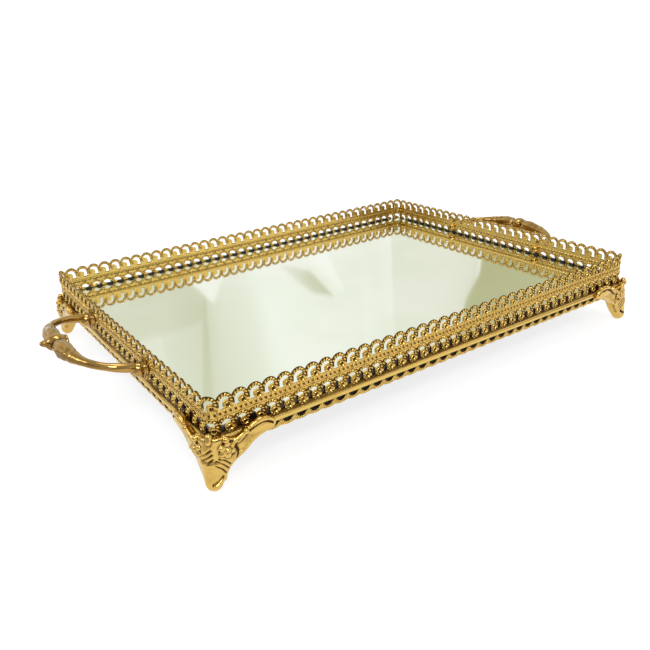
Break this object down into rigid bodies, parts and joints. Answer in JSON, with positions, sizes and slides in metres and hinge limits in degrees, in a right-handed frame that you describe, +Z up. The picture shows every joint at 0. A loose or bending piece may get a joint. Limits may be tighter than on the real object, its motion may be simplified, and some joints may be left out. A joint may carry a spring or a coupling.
{
  "type": "footed mirror tray",
  "caption": "Rectangular vanity tray with a mirror floor, pierced gold gallery rim, cast loop handles and cast corner feet.",
  "frame": {"origin": "on the ground, under the centre of the tray", "axes": "+X along the long sides towards the right handle, +Y towards the back, +Z up"},
  "size_m": [0.443, 0.2786, 0.0541],
  "materials": {
    "mirror": "polished silvered glass",
    "adhesive": "matt",
    "board": "black painted board",
    "band": "satin black",
    "felt": "matt felt",
    "gallery": "polished and lacquered gold tone",
    "casting": "polished gold-plated casting",
    "screws": "gold-tone plated"
  },
  "bodies": {
    "root": {"mirror_plate": "mirror", "mirror_adhesive": "adhesive", "backing_board": "board", "edge_band": "band", "felt_backing": "felt", "gallery_front": "gallery", "gallery_right": "gallery", "gallery_back": "gallery", "gallery_left": "gallery", "front_left_foot": "casting", "front_right_foot": "casting", "rear_left_foot": "casting", "rear_right_foot": "casting", "left_handle": "casting", "right_handle": "casting", "handle_screws": "screws", "handle_washers": "screws", "foot_screws": "screws", "gallery_pins": "gallery"}
  },
  "joints": []
}
